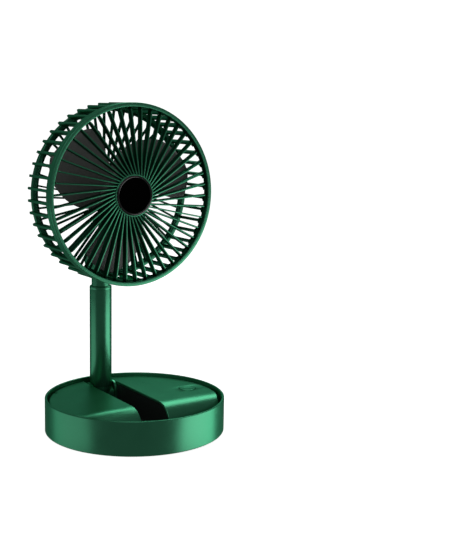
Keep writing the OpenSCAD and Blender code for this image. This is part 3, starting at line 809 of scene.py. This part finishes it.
def makeImpeller(s):
    boss = newPiece("boss", turned(softened([
        (s["bore"], s["hubBack"], 0.3), (s["hub"], s["hubBack"], 0.4), (s["hub"], s["hubFront"], 3.2),
        (s["shaft"], s["hubFront"], 0.0), (s["shaft"], s["boreFront"], 0.0),
        (s["bore"], s["boreFront"], 0.5)]), 120), onHead)
    blades = roundHead("blades", bladeShape(s), s["blades"], smoke, s["start"])
    piece = joined("impeller", boss, blades)
    finishPiece(piece, "rotor", "smoked_blade", smoke, "impeller")


makeImpeller(impeller)
print("impeller made")

tub = {"wall": 2.0, "floorTop": 3.0, "rimOut": 0.6, "rimIn": 0.5, "foot": 0.8, "portAngle": 64.0,
       "portWidth": 9.6, "portHeight": 3.8, "portZ": 10.0}
screwPlaces = [(-24, 60), (-62, 24), (-60, -10), (-24, -29), (18.5, 62.5), (62, 24), (60, -10), (24, -29)]


def portCutter(s):
    half, tall = s["portWidth"] / 2, s["portHeight"] / 2
    outline = softened([(-half, -tall, tall * 0.99), (half, -tall, tall * 0.99),
                        (half, tall, tall * 0.99), (-half, tall, tall * 0.99)], 8)
    turn = math.radians(s["portAngle"])
    sections = []
    for reach, grow in ((68, 1.0), (basePlace["radius"] - 0.5, 1.0), (basePlace["radius"] + 0.4, 1.2)):
        section = []
        for px, pz in outline:
            px, pz = px * (1 + (grow - 1) * 0.4), pz * grow
            section.append((reach * math.cos(turn) - px * math.sin(turn),
                            reach * math.sin(turn) + px * math.cos(turn), s["portZ"] + pz))
        sections.append(section)
    return lofted(sections)


def makeTub(s):
    outer, low, high = basePlace["radius"], basePlace["low"], basePlace["high"]
    inner = outer - s["wall"]
    shell = newPiece("baseShell", turned(softened([
        (0, low, 0), (outer, low, s["foot"]), (outer, high, s["rimOut"]), (inner, high, s["rimIn"]),
        (inner, s["floorTop"], 1.0), (0, s["floorTop"], 0)], 6), 240))
    wells = [shifted(turned([(0, 0), (2.9, 0), (2.6, low + 0.35), (2.6, 2.2), (0, 2.2)], 40), x, y)
             for x, y in screwPlaces]
    cutBy(shell, newPiece("cutter", together(portCutter(s), *wells)))
    finishPiece(shell, "base", "green_shell", green, "base_shell")


makeTub(tub)

deck = {"radius": 73.7, "edge": 13.0, "top": 27.0, "low": 3.0, "skin": 2.0, "round": 0.9,
        "noseY": 18.0, "noseR": 19.0, "notchAngle": 136.0, "buttonHole": 7.6}


# Stations along a deck's top, over its nose and down its front: (y, z, normal y, normal z)
def deckStations(s):
    last = math.degrees(math.acos(s["edge"] / s["radius"])) - 0.2
    first = -math.degrees(math.asin(s["noseY"] / s["radius"]))
    rows = []
    for k in range(49):
        y = s["radius"] * math.sin(math.radians(last + (first - last) * k / 48))
        rows.append((y, s["top"], 0.0, 1.0))
    for k in range(1, 25):
        turn = math.pi / 2 * k / 24
        rows.append((-s["noseY"] - s["noseR"] * math.sin(turn),
                     s["top"] - s["noseR"] * (1 - math.cos(turn)), -math.sin(turn), math.cos(turn)))
    front = -s["noseY"] - s["noseR"]
    for z in (5.5, s["low"]):
        rows.append((front, z, -1.0, 0.0))
    return rows


def deckSlab(s):
    sections = []
    for y, z, ny, nz in deckStations(s):
        wide = math.sqrt(s["radius"] ** 2 - y * y) - s["edge"]
        soft = min(s["round"], wide * 0.45)
        outline = [(0.0, 0.0, s["skin"])]
        for k in range(6):
            turn = math.pi / 2 * k / 5
            outline.append((0.0, soft * (1 - math.cos(turn)), soft * (1 - math.sin(turn))))
        outline += [(share, soft * 1.15 * (1 - 2 * share), 0.0) for share in (0.0, 0.25, 0.5, 0.75, 1.0)]
        for k in range(5, -1, -1):
            turn = math.pi / 2 * k / 5
            outline.append((1.0, -soft * (1 - math.cos(turn)), soft * (1 - math.sin(turn))))
        outline.append((1.0, 0.0, s["skin"]))
        section = []
        for side, inset, depth in outline:
            py, pz = y - ny * depth, z - nz * depth
            rim = math.sqrt(s["radius"] ** 2 - py * py)
            section.append((s["edge"] + side * (rim - s["edge"]) + inset, py, pz))
        sections.append(section)
    return lofted(sections)


def deckWall(s):
    front = math.degrees(math.asin((s["noseY"] + s["noseR"] - 0.6) / s["radius"]))
    back = math.degrees(math.acos(s["edge"] / s["radius"])) - 0.3
    sections = []
    for k in range(61):
        turn = math.radians(-front + (front + back) * k / 60)
        y = s["radius"] * math.sin(turn)
        top = s["top"] - 1.2
        if y < -s["noseY"]:
            top -= s["noseR"] - math.sqrt(s["noseR"] ** 2 - (y + s["noseY"]) ** 2)
        top = max(top, s["low"] + 1)
        outer, inner = s["radius"] - 0.05, s["radius"] - s["skin"]
        section = []
        for radius, z in ((outer, s["low"]), (outer, top), (inner, top), (inner, s["low"])):
            section.append((radius * math.cos(turn), radius * math.sin(turn), z))
        sections.append(section)
    return lofted(sections)


def mirrored(shape):
    points, faces = shape
    return [(-x, y, z) for x, y, z in points], faces


def makeDecks(s):
    button = onButton(0, 0, 0)
    hole = turned([(0, 20), (s["buttonHole"], 20), (s["buttonHole"], s["top"] - 0.5),
                   (s["buttonHole"] + 0.15, s["top"] - 0.15), (s["buttonHole"] + 0.5, s["top"]),
                   (s["buttonHole"] + 0.9, 29), (0, 29)], 96)
    slab = newPiece("rightSlab", deckSlab(s))
    cutBy(slab, newPiece("cutter", shifted(hole, button[0] / mm, button[1] / mm)))
    right = joined("rightDeck", slab, newPiece("rightWall", deckWall(s)))
    finishPiece(right, "base", "green_shell", green, "right_deck")
    turn = math.radians(s["notchAngle"])
    notch = []
    for px, py in softened([(s["radius"] - 3, -1.5, 0.6), (s["radius"] + 3, -1.5, 0),
                            (s["radius"] + 3, 1.5, 0), (s["radius"] - 3, 1.5, 0.6)]):
        notch.append((px * math.cos(turn) - py * math.sin(turn), px * math.sin(turn) + py * math.cos(turn)))
    block = lofted([[(x, y, z) for x, y in notch] for z in (24, 29)])
    slab = newPiece("leftSlab", mirrored(deckSlab(s)))
    cutBy(slab, newPiece("cutter", block))
    left = joined("leftDeck", slab, newPiece("leftWall", mirrored(deckWall(s))))
    finishPiece(left, "base", "green_shell", green, "left_deck")


makeDecks(deck)
print("tub and decks made")

button = {"radius": 7.3, "rim": 27.3, "dish": 0.6, "round": 0.4, "flange": 8.6, "skirt": 24.6,
          "low": 23.4, "stem": 2.0}


def makeButton(s):
    dish = []
    for k in range(1, 9):
        share = 1 - k / 8
        dish.append(((s["radius"] - 1.2) * share, s["rim"] - s["dish"] * (1 - share * share)))
    outline = [(0, buttonLow.z), (s["stem"], buttonLow.z), (s["stem"], s["low"]), (s["flange"], s["low"]),
               (s["flange"], s["skirt"]), (s["radius"], s["skirt"]), (s["radius"], s["rim"] - s["round"]),
               (s["radius"] - 0.12, s["rim"] - 0.12), (s["radius"] - s["round"], s["rim"]),
               (s["radius"] - 1.2, s["rim"])] + dish
    piece = newPiece("powerButton", turned(outline, 96), onButton, 30)
    finishPiece(piece, "button", "green_shell", green, "power_button")


makeButton(button)

foot = {"count": 4, "start": 45.0, "radius": 6.0, "high": 1.4, "ring": 63.5}


def makeFeet(s):
    pad = turned(softened([(0, 0.15, 0), (s["radius"] - 1.2, 0.15, 0.1), (s["radius"] - 1.6, 0, 0.1),
                           (s["radius"], 0, 0.35), (s["radius"], s["high"], 0), (0, s["high"], 0)], 3), 48)
    seed = newPiece("rubberFeet", shifted(pad, s["ring"]))
    piece = grown(seed, ringOfCopies, {"Count": s["count"], "Start Angle": math.radians(s["start"]),
                                       "Turn": (0, 0, 0), "Shift": (0, 0, 0), "Finish": rubber})
    finishPiece(piece, "base", "foot_rubber", rubber, "rubber_feet")


makeFeet(foot)


deckScrew = {"head": 2.4, "headHigh": 1.2, "shank": 1.1, "length": 10.2, "seatZ": 0.9}
bracketScrew = {"head": 2.0, "headHigh": 0.4, "shank": 1.1, "length": 7.0, "ring": 15}


# A pan-head screw along Z, its head's top at zero and its cross cut into it
def screwSeed(s):
    headRadius, headHeight, shank = s["head"], s["headHigh"], s["shank"]
    body = newPiece("screw", turned(softened([
        (0, 0, 0), (headRadius, 0, 0.5), (headRadius, -headHeight, 0.1), (shank, -headHeight, 0),
        (shank, -s["length"], 0.3), (0, -s["length"], 0)], 3), 40))
    half, thin, deep = headRadius * 0.62, headRadius * 0.12, min(0.8, headHeight * 0.8)
    cross = []
    for a, b in ((half, thin), (thin, half)):
        corners = [(-a, -b), (a, -b), (a, b), (-a, b)]
        cross.append(lofted([[(x * 0.7, y * 0.7, -deep) for x, y in corners],
                             [(x * 1.05, y * 1.05, 0.1) for x, y in corners]]))
    for arm in cross:
        cutBy(body, newPiece("cutter", arm))
    return body


def makeScrews(name, body, node, seed, points, turn):
    spots = newPiece(name, (points, []))
    grown(spots, screwsOnPoints, {"Screw": seed, "Turn": turn, "Finish": steel})
    discard(seed)
    finishPiece(spots, body, "steel", steel, node)


makeScrews("deckScrews", "base", "deck_screws", screwSeed(deckScrew),
           [(x, y, deckScrew["seatZ"]) for x, y in screwPlaces], (math.pi, 0, 0))
bracketBack = boxOf("bracket_screws")[1].y
bracketPoints = []
for turnDegrees in (30, 150, 270):
    angle = math.radians(turnDegrees)
    bracketPoints.append((bracketScrew["ring"] * math.cos(angle), bracketBack,
                          headPlace["centreZ"] - bracketScrew["ring"] * math.sin(angle)))
makeScrews("bracketScrews", "head", "bracket_screws", screwSeed(bracketScrew), bracketPoints,
           (-math.pi / 2, 0, 0))
print("button, feet and screws made")

pole = {"outer": 10.0, "outerBore": 8.7, "tubeLow": 24.0, "tubeHigh": 114.0, "collarHigh": 117.0,
        "collarIn": 6.0, "inner": 8.2, "innerBore": 7.2, "innerLow": 33.0, "innerHigh": 132.7,
        "collarBore": 8.26}


def makePole(s):
    outer = newPiece("outerTube", turned(softened([
        (s["outerBore"], s["tubeLow"], 0), (s["outer"], s["tubeLow"], 0.4), (s["outer"], s["tubeHigh"], 0.15),
        (s["outerBore"], s["tubeHigh"], 0)]), 128), onPole)
    finishPiece(outer, "pole_outer", "green_shell", green, "outer_tube")
    neck = s["outerBore"] - 0.02
    collar = newPiece("tubeCollar", turned(softened([
        (s["collarBore"], s["tubeHigh"] - s["collarIn"], 0), (neck, s["tubeHigh"] - s["collarIn"], 0),
        (neck, s["tubeHigh"], 0), (s["outer"], s["tubeHigh"], 0.15), (s["outer"], s["collarHigh"], 0.9),
        (s["collarBore"], s["collarHigh"], 0.25)]), 128), onPole)
    finishPiece(collar, "pole_outer", "green_shell", green, "tube_collar")
    inner = newPiece("innerTube", turned(softened([
        (s["innerBore"], s["innerLow"], 0), (s["inner"], s["innerLow"], 0.1),
        (s["inner"], s["innerHigh"], 0.3), (s["innerBore"], s["innerHigh"], 0)]), 128), onPole)
    finishPiece(inner, "pole_inner", "green_shell", green, "inner_tube")


makePole(pole)

# Knuckles and brackets keep their CAD shapes, with their edges rounded
roundedNodes = {
    "hinge_bracket": ("hingeBracket", "base", "green_shell", green, 0.3),
    "foot_knuckle": ("footKnuckle", "pole_outer", "green_shell", green, 0.25),
    "top_knuckle": ("topKnuckle", "pole_inner", "green_shell", green, 0.4),
    "rear_bracket": ("rearBracket", "head", "green_shell", green, 0.8),
}
for node, (name, body, slot, finish, width) in roundedNodes.items():
    finishPiece(roundedCopy(name, node, width), body, slot, finish, node)
print("pole, knuckles and bracket made")

# Inner parts are the CAD solids themselves, in finishes of their own
nodeFinishes = {
    "channel_tray": liner, "base_pin": steel, "pivot_washers": blackPart, "button_spring": steel,
    "push_switch": blackPart, "control_board": board, "battery_cells": wrap, "battery_holder": blackPart,
    "usb_socket": steel, "charge_board": board, "slide_bush": blackPart, "head_pin": steel,
    "hinge_discs": blackPart, "impeller_cap": blackPart, "motor_base": blackPart, "motor_board": board,
    "stator_core": iron, "stator_coils": copper, "ball_bearings": steel, "rotor_cup": steel,
    "rotor_magnets": iron, "motor_shaft": steel,
}
for node, finish in nodeFinishes.items():
    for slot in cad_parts[node].material_slots:
        slot.material = finish
print("CAD nodes finished")
